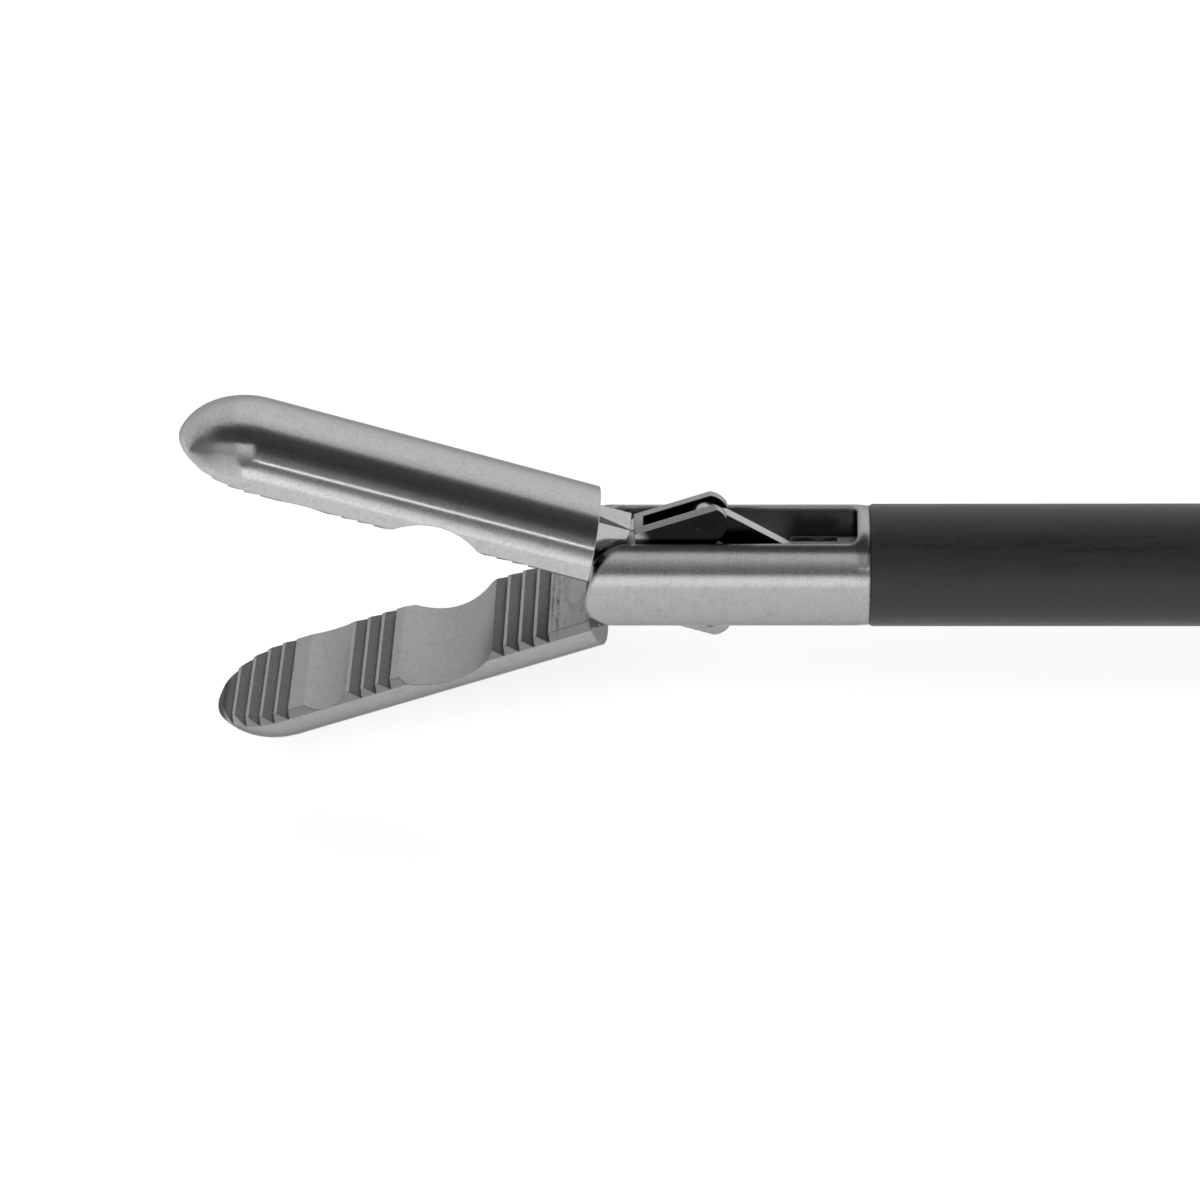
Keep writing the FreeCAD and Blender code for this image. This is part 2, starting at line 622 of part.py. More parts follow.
def housing_cavities():
    # Room for the hub, the lever's head, the rack and the pawl
    cavity = box(HOUSING_FRONT + CAVITY_FRONT_WALL, HOUSING_BACK - CAVITY_REAR_WALL,
                 -BARREL_BOTTOM - EPS, CAVITY_TOP, -CAVITY_HALF, CAVITY_HALF)
    journal = cyl_x(HUB_D / 2 + RUNNING, HOUSING_FRONT - EPS, HOUSING_FRONT + CAVITY_FRONT_WALL + EPS)
    groove = cyl_x(HUB_FLANGE_D / 2 + LOOSE,
                   FLANGE_FRONT - RUNNING, FLANGE_FRONT + HUB_FLANGE_WIDTH + RUNNING)
    half = RACK_HALF + LOOSE
    rack_run = sector(RACK_R - RACK_DEPTH / 2 - LOOSE, RACK_OUTER + LOOSE,
                      RACK_START_ANGLE, RACK_END_ANGLE - LEVER_SWING_ANGLE - RACK_ROOM_ANGLE, half)
    pin = pawl_pin_place()
    room = PAWL_BOSS_R + LOOSE
    rooms = [strap_z(pin, room, pawl_tip(lean), PAWL_TIP_R + 2 * LOOSE, -half, half)
             for lean in (PAWL_FREE_ANGLE, PAWL_CAUGHT_ANGLE)]
    rooms += [strap_z(pin, room, trigger_tip(turn), TRIGGER_R + LOOSE, -half, half)
              for turn in (0, PAWL_THROW_ANGLE / 2, PAWL_THROW_ANGLE)]
    spring_room = cyl_z(PAWL_BOSS_R, pin[0], pin[1], -CAVITY_HALF, CAVITY_HALF)
    return [cavity, journal, groove, rack_run, spring_room] + rooms


def make_housing(side):
    # Half shell: side is 1 for the half above the handle's mid plane, -1 below
    shell = housing_form().cut(housing_cavities())
    lx, ly = from_lever(0, 0)
    px, py = pawl_pin_place()
    shell = shell.cut([cyl_z(LEVER_PIN_D / 2 + SEATED, lx, ly, 0, PIN_SEAT),
                       cyl_z(PAWL_PIN_D / 2 + SEATED, px, py, 0, PIN_SEAT)])
    if side < 0:
        shell = shell.mirror(vec(0, 0, 0), vec(0, 0, 1))
    for x, y in screw_places():
        shell = shell.cut(screw(x, y, SEATED))
    foot = POST_FOOT_D / 2 + SEATED
    post_x = HOUSING_FRONT + POST_BACK
    shell = shell.cut([cyl_y(foot, post_x, 0, BARREL_TOP - POST_FOOT - SEATED, BARREL_TOP + EPS),
                       cyl_y(POST_D / 2 + SEATED, post_x, 0, CAVITY_TOP - EPS, BARREL_TOP)])
    return shell


def screw(x, y, room):
    # With room around it this is the screw's seat, open at the top
    head = HANDLE_HALF - SCREW_HEAD_DEPTH
    top = HANDLE_HALF + EPS if room else HANDLE_HALF - SCREW_SUNK
    body = cyl_z(SCREW_HEAD_D / 2 + room, x, y, head - room, top)
    shank = cyl_z(SCREW_D / 2 + room, x, y, -SCREW_REACH - room, head)
    return body.fuse(shank)


def make_screws():
    screws = []
    top = HANDLE_HALF - SCREW_SUNK
    across_corners = HEX_ACROSS / math.cos(math.pi / HEX_SIDES)
    for x, y in screw_places():
        corners = [polar((x, y), across_corners / 2, i * 360 / HEX_SIDES) for i in range(HEX_SIDES)]
        screws.append(screw(x, y, 0).cut(prism_z(corners, top - HEX_DEPTH, top + EPS)))
    return Part.makeCompound(screws)


def make_post():
    x = HOUSING_FRONT + POST_BACK
    post = cyl_y(POST_D / 2, x, 0, CAVITY_TOP, BARREL_TOP + POST_REACH - POST_D / 2)
    dome = Part.makeSphere(POST_D / 2, vec(x, BARREL_TOP + POST_REACH - POST_D / 2, 0))
    foot = cyl_y(POST_FOOT_D / 2, x, 0, BARREL_TOP - POST_FOOT, BARREL_TOP)
    return post.fuse([dome, foot]).removeSplitter()


def make_contact_spring():
    # Leaf under the post that leads to the rear of the metal hub
    x1 = HOUSING_FRONT + POST_BACK + CONTACT_WIDTH / 2
    x0 = HUB_BACK + RUNNING
    half = CONTACT_WIDTH / 2
    y1 = CAVITY_TOP
    y0 = (HUB_D + SEAL_D) / 4
    bend_x = x0 + CONTACT_THICKNESS
    bend_y = y1 - CONTACT_THICKNESS
    leaf = [(x1, y1), (x1, bend_y), (bend_x, bend_y), (bend_x, y0), (x0, y0), (x0, y1)]
    return prism_z(leaf, -half, half)


def soft_sides(shape):
    # Rounds both rims of a lever form
    rim = [e for e in shape.Edges if all(abs(abs(p.z) - LEVER_HALF) < TOUCH for p in e.discretize(4))]
    return shape.makeFillet(RING_EDGE, rim)


def make_lever():
    pin = from_lever(0, 0)
    ring = from_lever(THUMB_X, THUMB_Y)
    outer = THUMB_HOLE_R + INSERT_WALL + RING_WALL
    share = 1 - (outer - RING_WALL / 2) / math.hypot(THUMB_X, THUMB_Y)
    foot = from_lever(share * THUMB_X, share * THUMB_Y)
    arm = soft_sides(strap_z(pin, LEVER_HEAD_R, foot, LEVER_NECK_R, -LEVER_HALF, LEVER_HALF))
    half = BALL_D / 2 + BALL_CLEAR
    head = strap_z(pin, LEVER_HEAD_R, (LEVER_X, 0), half + FORK_WALL, -LEVER_HALF, LEVER_HALF)
    loop = soft_sides(cyl_z(outer, ring[0], ring[1], -LEVER_HALF, LEVER_HALF))
    hole = cyl_z(THUMB_HOLE_R + INSERT_WALL, ring[0], ring[1], -HANDLE_HALF, HANDLE_HALF)
    lever = arm.fuse([head, loop]).cut(hole)
    lever = lever.removeSplitter()
    lever = lever.cut(cyl_z(LEVER_PIN_D / 2 + RUNNING, pin[0], pin[1], -HANDLE_HALF, HANDLE_HALF))
    bush = BUSH_D / 2 + SEATED
    for z0, z1 in ((LEVER_HALF - BUSH_SEAT, HANDLE_HALF), (-HANDLE_HALF, BUSH_SEAT - LEVER_HALF)):
        lever = lever.cut(cyl_z(bush, pin[0], pin[1], z0, z1))
    neck = ROD_D / 2 + LOOSE
    dip = (half + FORK_WALL) * math.sin(math.radians(LEVER_SWING_ANGLE))
    pocket = box(LEVER_X - half, LEVER_X + half, -half, HANDLE_HALF, -half, half)
    throat = box(LEVER_X - HANDLE_HALF, LEVER_X, -neck - dip, HANDLE_HALF, -neck, neck)
    rack_seat = sector(RACK_R - RACK_DEPTH / 2 - SEATED, RACK_OUTER + SEATED,
                       RACK_START_ANGLE + SEATED, RACK_END_ANGLE, RACK_HALF + SEATED)
    return lever.cut([pocket, throat, rack_seat])


def make_bushes():
    pin = from_lever(0, 0)
    bushes = []
    for z0 in (LEVER_HALF - BUSH_SEAT + SEATED, -CAVITY_HALF + RUNNING):
        z1 = z0 + BUSH_SEAT + CAVITY_HALF - LEVER_HALF - RUNNING - SEATED
        ring = cyl_z(BUSH_D / 2, pin[0], pin[1], z0, z1)
        bushes.append(ring.cut(cyl_z(LEVER_PIN_D / 2 + RUNNING, pin[0], pin[1], z0 - EPS, z1 + EPS)))
    return Part.makeCompound(bushes)


def make_lever_pin():
    x, y = from_lever(0, 0)
    reach = PIN_SEAT - SEATED
    return cyl_z(LEVER_PIN_D / 2, x, y, -reach, reach)


def make_thumb_insert():
    x, y = from_lever(THUMB_X, THUMB_Y)
    outer = cyl_z(THUMB_HOLE_R + INSERT_WALL - SEATED, x, y, -INSERT_HALF, INSERT_HALF)
    return outer.cut(cyl_z(THUMB_HOLE_R, x, y, -INSERT_HALF - EPS, INSERT_HALF + EPS))


def make_finger_insert():
    wide = HANDLE_HALF + INSERT_HALF - LEVER_HALF
    outer = finger_hole(FINGER_HOLE_R + INSERT_WALL - SEATED, -wide, wide)
    return outer.cut(finger_hole(FINGER_HOLE_R, -wide - EPS, wide + EPS))


# Ratchet
def make_rack():
    # The teeth line up with the pressed pawl when the lever is fully squeezed
    rack = sector(RACK_R - RACK_DEPTH / 2, RACK_OUTER, RACK_START_ANGLE, RACK_END_ANGLE, RACK_HALF)
    centre = from_lever(0, 0)
    tip = pawl_tip(PAWL_CAUGHT_ANGLE)
    tip_angle = math.degrees(math.atan2(tip[1] - centre[1], tip[0] - centre[0]))
    pitch = LEVER_SWING_ANGLE / TEETH_PER_SWING
    stand_off = math.degrees((PAWL_TIP_R + LOOSE / 2) / RACK_OUTER)
    first = tip_angle - stand_off + LEVER_SWING_ANGLE
    first += pitch * math.ceil((RACK_END_ANGLE - first) / pitch)
    cuts = []
    for i in range(RACK_TEETH):
        a0 = first + i * pitch
        corners = [polar(centre, RACK_OUTER + EPS, a0), polar(centre, RACK_OUTER - RACK_TOOTH_DEPTH, a0),
                   polar(centre, RACK_OUTER, a0 + pitch), polar(centre, RACK_OUTER + EPS, a0 + pitch)]
        cuts.append(prism_z(corners, -RACK_HALF - EPS, RACK_HALF + EPS))
    return rack.cut(cuts)


def make_pawl():
    pin = pawl_pin_place()
    nose = strap_z(pin, PAWL_NOSE_R, pawl_tip(PAWL_FREE_ANGLE), PAWL_TIP_R, -RACK_HALF, RACK_HALF)
    arm = strap_z(pin, PAWL_BOSS_R, trigger_tip(0), TRIGGER_R, -RACK_HALF, RACK_HALF)
    pawl = arm.fuse(nose).removeSplitter()
    return pawl.cut(cyl_z(PAWL_PIN_D / 2 + RUNNING, pin[0], pin[1], -HANDLE_HALF, HANDLE_HALF))


def make_pawl_pin():
    x, y = pawl_pin_place()
    reach = PIN_SEAT - SEATED
    return cyl_z(PAWL_PIN_D / 2, x, y, -reach, reach)


def make_pawl_spring():
    # Coil beside the pawl, wound on its pin
    x, y = pawl_pin_place()
    z0 = RACK_HALF + RUNNING
    z1 = CAVITY_HALF - RUNNING
    coil = cyl_z(PAWL_BOSS_R - LOOSE, x, y, z0, z1)
    return coil.cut(cyl_z(PAWL_PIN_D / 2 + LOOSE, x, y, z0 - EPS, z1 + EPS))


def build():
    os.makedirs("parts", exist_ok=True)
    jaw = make_jaw()
    elbow_pin = make_elbow_pin()
    upper_angle = OPEN_ANGLE - PLAY_ANGLE
    lower_angle = OPEN_ANGLE + PLAY_ANGLE
    link = make_link()
    pieces = {
        "jaw_upper": opened(jaw, upper_angle),
        "jaw_lower": half_turn(opened(jaw, lower_angle)),
        "elbow_pin_lower": opened(elbow_pin, upper_angle),
        "elbow_pin_upper": half_turn(opened(elbow_pin, lower_angle)),
        "link_lower": link,
        "link_upper": half_turn(link),
        "clevis": make_clevis(),
        "jaw_pivot_pin": make_pivot_pin(),
        "rod_fork": make_rod_fork(),
        "rod_pin": make_rod_pin(),
        "pull_rod": make_pull_rod(),
        "ball_end": make_ball_end(),
        "shaft_tube": make_shaft_tube(),
        "insulation_sleeve": make_sleeve(),
        "rod_guide": make_rod_guide(),
        "rod_seal": make_rod_seal(),
        "shaft_hub": make_hub(),
        "hub_o_ring": make_o_ring(),
        "rotation_knob": make_knob(),
        "knob_lock_ring": make_lock_ring(),
        "housing_right": make_housing(1),
        "housing_left": make_housing(-1),
        "housing_screws": make_screws(),
        "electrode_post": make_post(),
        "contact_spring": make_contact_spring(),
        "thumb_lever": make_lever(),
        "lever_bushes": make_bushes(),
        "lever_pin": make_lever_pin(),
        "thumb_ring_insert": make_thumb_insert(),
        "finger_loop_insert": make_finger_insert(),
        "ratchet_rack": make_rack(),
        "ratchet_pawl": make_pawl(),
        "pawl_pin": make_pawl_pin(),
        "pawl_spring": make_pawl_spring(),
    }
    for name, shape in pieces.items():
        export(shape, name)
        solids = len(shape.Solids)
        print(f"{name:20s} solids {solids} valid {shape.isValid()} volume {shape.Volume:.2f}")


build()
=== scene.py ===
import json
import math

import bmesh
import bpy
from mathutils import Matrix, Vector


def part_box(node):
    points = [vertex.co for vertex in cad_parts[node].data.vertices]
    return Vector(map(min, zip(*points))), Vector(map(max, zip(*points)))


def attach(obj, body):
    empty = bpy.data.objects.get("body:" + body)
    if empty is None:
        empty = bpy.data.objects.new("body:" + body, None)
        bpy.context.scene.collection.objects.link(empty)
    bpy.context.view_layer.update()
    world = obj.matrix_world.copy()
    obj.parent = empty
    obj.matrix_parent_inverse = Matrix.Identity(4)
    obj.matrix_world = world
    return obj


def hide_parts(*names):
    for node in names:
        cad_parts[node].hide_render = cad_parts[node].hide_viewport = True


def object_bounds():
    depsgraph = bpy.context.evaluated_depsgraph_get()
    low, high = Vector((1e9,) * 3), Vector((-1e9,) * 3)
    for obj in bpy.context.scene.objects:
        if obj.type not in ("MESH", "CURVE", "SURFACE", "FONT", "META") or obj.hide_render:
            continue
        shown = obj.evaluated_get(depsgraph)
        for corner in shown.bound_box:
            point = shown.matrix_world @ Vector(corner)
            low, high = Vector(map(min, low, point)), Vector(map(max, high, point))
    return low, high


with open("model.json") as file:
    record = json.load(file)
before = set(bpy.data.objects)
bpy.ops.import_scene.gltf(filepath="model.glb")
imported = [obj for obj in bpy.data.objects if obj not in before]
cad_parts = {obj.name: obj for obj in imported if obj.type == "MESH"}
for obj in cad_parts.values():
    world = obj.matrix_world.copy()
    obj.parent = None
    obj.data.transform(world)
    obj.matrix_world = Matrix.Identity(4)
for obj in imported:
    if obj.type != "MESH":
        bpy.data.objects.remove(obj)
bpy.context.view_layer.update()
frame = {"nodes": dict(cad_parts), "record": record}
MM = 0.001


# Shader maths
class Varying:
    """A value that changes over a surface; numbers are usable in plain arithmetic."""

    def __init__(self, sheet, socket):
        self.sheet = sheet
        self.socket = socket

    def maths(self, operation, *values):
        return self.sheet.node("ShaderNodeMath", {"operation": operation}, dict(enumerate(values)))

    def __add__(self, other):
        return self.maths("ADD", self, other)

    def __radd__(self, other):
        return self.maths("ADD", other, self)

    def __sub__(self, other):
        return self.maths("SUBTRACT", self, other)

    def __rsub__(self, other):
        return self.maths("SUBTRACT", other, self)

    def __mul__(self, other):
        return self.maths("MULTIPLY", self, other)

    def __rmul__(self, other):
        return self.maths("MULTIPLY", other, self)

    def __truediv__(self, other):
        return self.maths("DIVIDE", self, other)

    def __rtruediv__(self, other):
        return self.maths("DIVIDE", other, self)

    def __abs__(self):
        return self.maths("ABSOLUTE", self)


def grey(level):
    return (level, level, level, 1.0)


class NodeSheet:
    """A node tree, with every node made by one method."""

    def __init__(self, tree):
        self.tree = tree

    def node(self, kind, settings=None, sockets=None, output=0):
        made = self.tree.nodes.new(kind)
        for name, value in (settings or {}).items():
            if name == "stops":
                ramp = made.color_ramp.elements
                while len(ramp) > 1:
                    ramp.remove(ramp[-1])
                for i, (at, level) in enumerate(value):
                    stop = ramp[0] if i == 0 else ramp.new(at)
                    stop.position = at
                    stop.color = grey(level)
            else:
                setattr(made, name, value)
        for key, value in (sockets or {}).items():
            if isinstance(value, Varying):
                self.tree.links.new(value.socket, made.inputs[key])
            else:
                made.inputs[key].default_value = value
        return Varying(self, made.outputs[output])

    def part(self, vector, axis):
        return self.node("ShaderNodeSeparateXYZ", {}, {0: vector}, output=axis)

    def dot(self, first, second):
        return self.node("ShaderNodeVectorMath", {"operation": "DOT_PRODUCT"},
                         {0: first, 1: second}, output="Value")

    def spread(self, value, low, high, new_low=0.0, new_high=1.0):
        """Smooth step from new_low, at low, to new_high, at high."""
        return self.node("ShaderNodeMapRange", {"interpolation_type": "SMOOTHSTEP"},
                         {"Value": value, "From Min": low, "From Max": high,
                          "To Min": new_low, "To Max": new_high})

    def tint(self, mask, low, high):
        """Colour low where mask is 0 and high where it is 1."""
        return self.node("ShaderNodeMix", {"data_type": "RGBA"},
                         {"Factor": mask, "A": low, "B": high}, output="Result")


# Nearly all of a noise pattern lies between the first two values, and most of it between the others
NOISE_LOW, NOISE_HIGH = 0.3, 0.7
CORE_LOW, CORE_HIGH = 0.38, 0.62


class Finish(NodeSheet):
    """One surface finish on a Principled shader; constants name its sockets."""

    def __init__(self, name, **constants):
        self.material = bpy.data.materials.new(name)
        self.material.use_nodes = True
        super().__init__(self.material.node_tree)
        self.shader = self.tree.nodes["Principled BSDF"]
        for socket, value in constants.items():
            self.shader.inputs[socket.replace("_", " ")].default_value = value
        self.place = self.node("ShaderNodeTexCoord", output="Object")
        self.facing = self.node("ShaderNodeTexCoord", output="Normal")

    def feed(self, socket, value):
        self.tree.links.new(value.socket, self.shader.inputs[socket])

    def stretched(self, x, y, z):
        """Place with each direction scaled, which draws a pattern out where the scale is small."""
        return self.node("ShaderNodeMapping", {}, {"Vector": self.place, "Scale": (x, y, z)})

    def noise(self, place, scale, detail, rough):
        return self.node("ShaderNodeTexNoise", {},
                         {"Vector": place, "Scale": scale, "Detail": detail, "Roughness": rough})

    def soft_edge(self, radius):
        """The surface direction with its edges rounded off by radius."""
        return self.node("ShaderNodeBevel", {"samples": 4}, {"Radius": radius})

    def shade_of(self, level, tone):
        """Grey of level, dimmed where tone is under 1."""
        self.feed("Base Color", self.tint(tone, grey(0.0), grey(level)))

    def gloss(self, pattern, smooth, dull):
        return self.spread(pattern, NOISE_LOW, NOISE_HIGH, smooth, dull)

    def raise_by(self, height, distance, rounded=None):
        sockets = {"Height": height, "Distance": distance}
        if rounded is not None:
            sockets["Normal"] = rounded
        self.feed("Normal", self.node("ShaderNodeBump", {}, sockets))


# Metal finishes. A noise scale is in specks per metre.
SATIN_TONE = (0.85, 1.12)
TURNED_TONE = (0.84, 1.12)
FACES_SIDEWAYS = (0.75, 0.97)
# Painted shade on the flat sides of the pieces in the clevis slot
SLOT_SIDE_PAINTED_SHADE = 0.03
SLOT_WALL_FACES = (0.9, 0.99)
SLOT_WALL_DEPTH = (1.15 * MM, 1.25 * MM)
# Painted shade on the clevis slot's inner walls, and the roughness added there
SLOT_WALL_PAINTED_SHADE = 0.3
SLOT_WALL_DULLING = 0.3


def satin_steel(name, level, rough, grain, edge, shade=None):
    """Fine blasted stainless: soft speckle, a little cloudiness, bright thin edges."""
    made = Finish(name, Metallic=1.0)
    speckle = made.noise(made.place, scale=1 / grain, detail=3.0, rough=0.7)
    cloud = made.noise(made.place, scale=1 / (14 * grain), detail=2.0, rough=0.5)
    tone = made.spread(speckle * 0.75 + cloud * 0.25, NOISE_LOW, NOISE_HIGH, *SATIN_TONE)
    # An optional painted shade, multiplied into the tone
    if shade:
        tone = tone * shade(made)
    made.shade_of(level, tone)
    made.feed("Roughness", made.gloss(speckle * 0.5 + cloud * 0.5,
                                      smooth=rough * 0.85, dull=rough * 1.2))
    made.raise_by(speckle, 0.004 * grain, made.soft_edge(edge))
    return made.material


def slot_painted_shade(made):
    """Painted shade on the pieces in the clevis slot: their flat sides are painted dark and their
    edges stay bright.
    """
    return made.spread(abs(made.part(made.facing, "Y")), *FACES_SIDEWAYS, 1.0, SLOT_SIDE_PAINTED_SHADE)


def slot_wall(made):
    """Mask of the walls that the milled slot leaves inside the clevis, where shade is painted on.
    """
    depth = abs(made.part(made.place, "Y"))
    side = abs(made.part(made.facing, "Y"))
    return made.spread(side, *SLOT_WALL_FACES) * made.spread(depth, *SLOT_WALL_DEPTH, 1.0, 0.0)


def turned_steel(name, level, rough, edge, shade_and_dull_where=None):
    """Turned stainless: hair-fine rings round the shaft axis."""
    made = Finish(name, Metallic=1.0, Specular_Tint=grey(0.5))
    rings = made.noise(made.stretched(1, 0.02, 0.02), scale=14000, detail=3.0, rough=0.65)
    speckle = made.noise(made.place, scale=12000, detail=3.0, rough=0.7)
    cloud = made.noise(made.place, scale=1600, detail=3.0, rough=0.6)
    blend = rings * 0.15 + speckle * 0.6 + cloud * 0.25
    tone = made.spread(blend, CORE_LOW, CORE_HIGH, *TURNED_TONE)
    gloss = made.gloss(rings * 0.5 + speckle * 0.5, smooth=rough * 0.85, dull=rough * 1.2)
    # Painted shade in the tone where the mask is set; the surface is also made rougher there
    if shade_and_dull_where:
        dull = shade_and_dull_where(made)
        tone = tone * (1 - dull * SLOT_WALL_PAINTED_SHADE)
        gloss = gloss + dull * SLOT_WALL_DULLING
    made.shade_of(level, tone)
    made.feed("Roughness", gloss)
    made.raise_by(rings * 0.6 + speckle * 0.4, 0.0006 * MM, made.soft_edge(edge))
    return made.material


def drawn_steel(name, level, rough, edge):
    """Drawn or ground stock: faint marks along its length."""
    made = Finish(name, Metallic=1.0)
    marks = made.noise(made.stretched(0.03, 1, 1), scale=12000, detail=3.0, rough=0.6)
    made.feed("Base Color", made.tint(marks, grey(level * 0.88), grey(level * 1.08)))
    made.feed("Roughness", made.gloss(marks, smooth=rough * 0.8, dull=rough * 1.25))
    made.raise_by(marks, 0.0008 * MM, made.soft_edge(edge))
    return made.material


def spring_bronze(name):
    """Spring bronze, faintly streaked along the shaft."""
    made = Finish(name, Metallic=1.0)
    marks = made.noise(made.stretched(0.2, 1, 1), scale=6000, detail=2.0, rough=0.6)
    made.feed("Base Color", made.tint(marks, (0.48, 0.31, 0.14, 1), (0.66, 0.45, 0.22, 1)))
    made.feed("Roughness", made.gloss(marks, smooth=0.22, dull=0.4))
    made.raise_by(marks, 0.001 * MM)
    return made.material


# The jaws' finish. Places along a jaw are distances from the pivot, as the solids have them.
PIVOT = (-9.18 * MM, 0, 0)
UPPER_OPEN = math.radians(19.4)
LOWER_OPEN = math.radians(21.4)
FLANK_SLOPE = math.radians(32)
TOOTHED = ((4.28 * MM, 6.95 * MM), (11.42 * MM, 13.4 * MM), (16.1 * MM, 19.6 * MM))
# Bands across a jaw: their middle and half their width
HEEL_SCORES = ((4.12 * MM, 0.04 * MM), (3.9 * MM, 0.08 * MM))
HEEL_FLAT = (3.4 * MM, 0.9 * MM)
NECK_TOP = (2.0 * MM, 0.68 * MM)
BAND_BLUR = 0.02 * MM
# The values between which each mask changes
GRIP_FACES = (0.5, 0.66)
FLANK_FACES = (0.94, 0.985)
RIM_FACES = (0.45, 0.6)
TOP_FACES = (0.9, 0.95)
TAIL_FROM = (0.6 * MM, 1.2 * MM)
TIP_FROM = (-19.0 * MM, -19.4 * MM)
NECK_LINE_OUT = (-1.0 * MM, -1.06 * MM)
CORNER_TURN = (0.99, 0.93)
EDGE_DARK_PATCHES = (0.35, 0.5)
PIT_PATCHES = (0.66, 0.7)
SCORE_PATCHES = (0.3, 0.6)
HEEL_PATCHES = (0.36, 0.56)
CREVICE_AIR = (0.35, 0.85)
NECK_LINE_FROM = 1.3 * MM
NECK_LINE_SLANT = 0.26
CORNER_RADIUS = 0.08 * MM
CREVICE_REACH = 0.3 * MM
# Brightness of the jaw's parts, and what each mark takes from it or adds
JAW_TONE = (0.86, 1.12)
# Painted shade on the tooth flanks
FLANK_PAINTED_SHADE = 0.36
# Painted highlight on the grip side's rim
RIM_PAINTED_HIGHLIGHT = 0.3
# Painted shade between the teeth
CREVICE_PAINTED_SHADE = 0.4
PIT_DARKER = 0.35
EDGE_DARKENING = 0.55
# Painted shade along the neck's edge
NECK_LINE_PAINTED_SHADE = 0.8
HEEL_MARK_DARKER = 0.22
# Painted shade in the grooves across the heel
GROOVE_PAINTED_SHADE = (0.5, 0.15)
BACK_GLOSS = (0.1, 0.14)
GRIP_DULLING = 0.3


def jaw_steel(name, side, opened, level, grip_tone, tail_painted_shade, tip_painted_shade):
    """Polished backs with a blasted grip side; side is 1 for the upper jaw, -1 for the lower."""
    made = Finish(name, Metallic=1.0, Specular_Tint=grey(0.4))
    speckle = made.noise(made.place, scale=11000, detail=3.0, rough=0.7)
    mottle = made.noise(made.place, scale=5200, detail=3.0, rough=0.6)
    cloud = made.noise(made.place, scale=1400, detail=2.0, rough=0.5)
    marks = made.noise(made.stretched(1, 0.2, 0.4), scale=3600, detail=3.0, rough=0.7)
    turned = made.node("ShaderNodeMapping", {"vector_type": "TEXTURE"},
                       {"Vector": made.place, "Location": PIVOT, "Rotation": (0, side * opened, 0)})
    facing = made.node("ShaderNodeMapping", {"vector_type": "NORMAL"},
                       {"Vector": made.facing, "Rotation": (0, -side * opened, 0)})
    along = made.part(turned, "X")
    across = made.part(made.place, "Y")
    sideways = abs(made.part(made.facing, "Y"))

    def toward(x, z):
        """How far the surface faces that way; z points at the other jaw."""
        return made.dot(facing, (x, 0, -side * z))

    def band(middle, half):
        return made.spread(abs(along + middle), half + BAND_BLUR, half)

    # Which part of the jaw it is
    grip = made.spread(toward(0, 1), *GRIP_FACES)
    flank = made.spread(toward(math.sin(FLANK_SLOPE), math.cos(FLANK_SLOPE)), *FLANK_FACES)
    toothed = sum(band((start + end) / 2, (end - start) / 2) for start, end in TOOTHED)
    # Mask of the tail's flat sides, where shade is painted
    tail = made.spread(along, *TAIL_FROM) * made.spread(sideways, *FACES_SIDEWAYS)
    rim = grip * made.spread(sideways, *RIM_FACES)

    # Darker patches along the grip side's edges
    rounded = made.soft_edge(CORNER_RADIUS)
    plain = made.node("ShaderNodeNewGeometry", output="Normal")
    corner = made.spread(made.dot(rounded, plain), *CORNER_TURN)
    edge_darkening = corner * rim * made.spread(mottle, *EDGE_DARK_PATCHES)

    # Painted shade along the line where the tail's neck leaves the jaw
    neck_edge = across * side + (along + NECK_LINE_FROM) * NECK_LINE_SLANT
    neck_painted_shade_line = made.spread(toward(0, -1), *TOP_FACES) * band(*NECK_TOP)
    neck_painted_shade_line = neck_painted_shade_line * made.spread(neck_edge, *NECK_LINE_OUT)

    # Painted shade between the teeth, pits, painted shade in the grooves by the heel, and tool
    # marks on the heel's flat
    open_air = made.node("ShaderNodeAmbientOcclusion", {"samples": 4},
                         {"Distance": CREVICE_REACH}, output="AO")
    crevice_painted_shade = grip * made.spread(open_air, *CREVICE_AIR, CREVICE_PAINTED_SHADE, 0.0)
    pitting = made.noise(made.place, scale=2600, detail=4.0, rough=0.75)
    pits = made.spread(pitting, *PIT_PATCHES) * grip
    # Painted shade in the two grooves across the heel
    groove_painted_shade = sum(band(*score) for score in HEEL_SCORES) * grip
    groove_painted_shade = groove_painted_shade * made.spread(marks, *SCORE_PATCHES, *GROOVE_PAINTED_SHADE)
    heel_flat = band(*HEEL_FLAT) * grip
    heel_flat = heel_flat * made.spread(marks, *HEEL_PATCHES, HEEL_MARK_DARKER, 0.0)

    blasted = speckle * 0.5 + mottle * 0.35 + cloud * 0.15
    tone = made.spread(blasted, CORE_LOW, CORE_HIGH, *JAW_TONE)
    # Painted highlight on the grip side's sideways-facing rim
    tone = tone * (1 - grip * (1 - grip_tone)) * (1 + rim * RIM_PAINTED_HIGHLIGHT)
    tone = tone * (1 - crevice_painted_shade) * (1 - pits * PIT_DARKER)
    tone = tone * (1 - groove_painted_shade) * (1 - heel_flat) * (1 - edge_darkening * EDGE_DARKENING)
    tone = tone * (1 - neck_painted_shade_line * NECK_LINE_PAINTED_SHADE)
    # Painted shade on the tooth flanks and on the tail's flat sides
    tone = tone * (1 - flank * toothed * (1 - FLANK_PAINTED_SHADE)) * (1 - tail * (1 - tail_painted_shade))
    # Painted shade on the nose, darker towards the tip
    tone = tone * made.spread(along, *TIP_FROM, 1.0, tip_painted_shade)
    made.shade_of(level, tone)
    gloss = made.gloss(speckle * 0.5 + cloud * 0.5, *BACK_GLOSS)
    made.feed("Roughness", gloss + grip * GRIP_DULLING)
    made.raise_by(speckle * 0.7 + mottle * 0.3, 0.0004 * MM, rounded)
    return made.material


